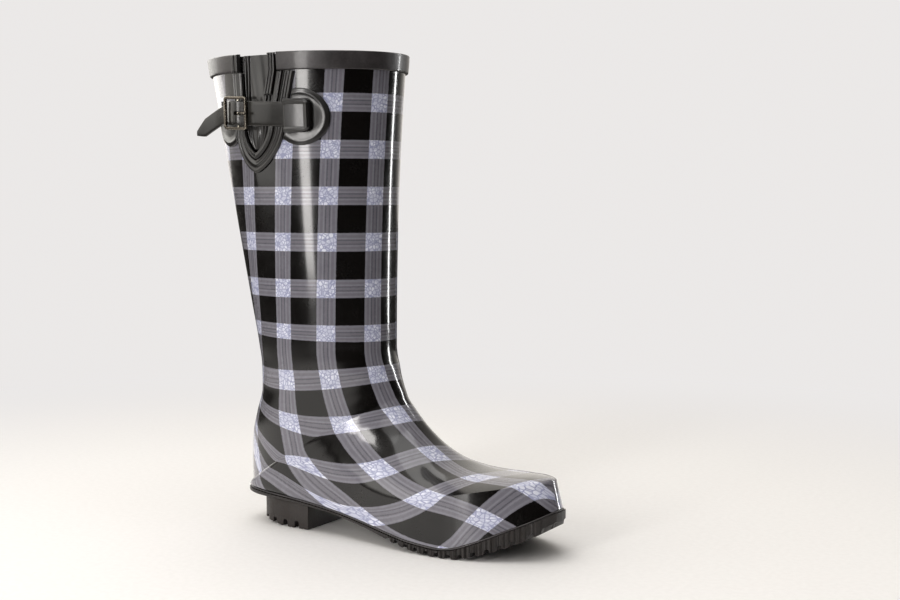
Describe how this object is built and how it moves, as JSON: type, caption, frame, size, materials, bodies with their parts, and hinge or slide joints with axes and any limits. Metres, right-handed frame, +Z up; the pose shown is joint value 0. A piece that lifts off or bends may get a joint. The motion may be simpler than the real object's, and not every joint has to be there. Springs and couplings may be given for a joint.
{
  "type": "rubber rain boot",
  "caption": "Tall glossy check-pattern rubber rain boot, right foot, with a low heel, lugged sole, side gusset and a strap fastened by a small buckle.",
  "frame": {"origin": "middle of the bottom of the boot's bounding box, on the floor it stands on", "axes": "+X to the toe, +Y to the inner side of the right foot, +Z up; the buckle is on the -Y side"},
  "size_m": [0.3238, 0.1296, 0.3805],
  "materials": {
    "plaid_rubber": "glossy printed check, clear coated",
    "trim_rubber": "glossy moulded",
    "band_rubber": "high gloss",
    "sole_rubber": "satin moulded",
    "lining_fabric": "knitted cotton",
    "stiffener_board": "matte impregnated felt",
    "fibre_board": "matte pressed fibre",
    "shank_steel": "brushed",
    "footbed_foam": "fabric faced foam",
    "strap_rubber": "semi gloss",
    "antique_metal": "dark antique plated, worn edges"
  },
  "bodies": {
    "boot": {"upper_shell": "plaid_rubber", "lining": "lining_fabric", "heel_counter": "stiffener_board", "toe_puff": "stiffener_board", "bottom_filler": "fibre_board", "shank": "shank_steel", "insole_board": "fibre_board", "footbed": "footbed_foam", "outsole": "sole_rubber", "heel_block": "sole_rubber", "sole_welt": "band_rubber", "back_stay": "trim_rubber", "rim_band": "band_rubber", "gusset_panel": "trim_rubber", "gusset_ridge": "trim_rubber", "shield_trim": "trim_rubber", "gusset_welt_front": "trim_rubber", "gusset_welt_rear": "trim_rubber", "anchor_patch_front": "trim_rubber", "anchor_patch_rear": "trim_rubber", "strap_anchor": "trim_rubber", "strap": "strap_rubber", "buckle_tab": "strap_rubber"},
    "buckle": {"buckle_frame": "antique_metal"},
    "prong": {"buckle_prong": "antique_metal"},
    "tail": {"strap_tail": "strap_rubber"}
  },
  "joints": [
    {"name": "buckle_swing", "type": "hinge", "parent": "boot", "child": "buckle", "pos_m": [-0.09492, -0.05751, 0.3346], "axis": [0.0481, -0.0864, 0.9951], "range_deg": [-4, 1.4]},
    {"name": "prong_lift", "type": "hinge", "parent": "buckle", "child": "prong", "pos_m": [-0.09492, -0.05751, 0.3346], "axis": [-0.0481, 0.0864, -0.9951], "range_deg": [0, 6]},
    {"name": "tail_flex", "type": "hinge", "parent": "boot", "child": "tail", "pos_m": [-0.10958, -0.05582, 0.33546], "axis": [0.0481, -0.0864, 0.9951], "range_deg": [-8, 50]}
  ]
}
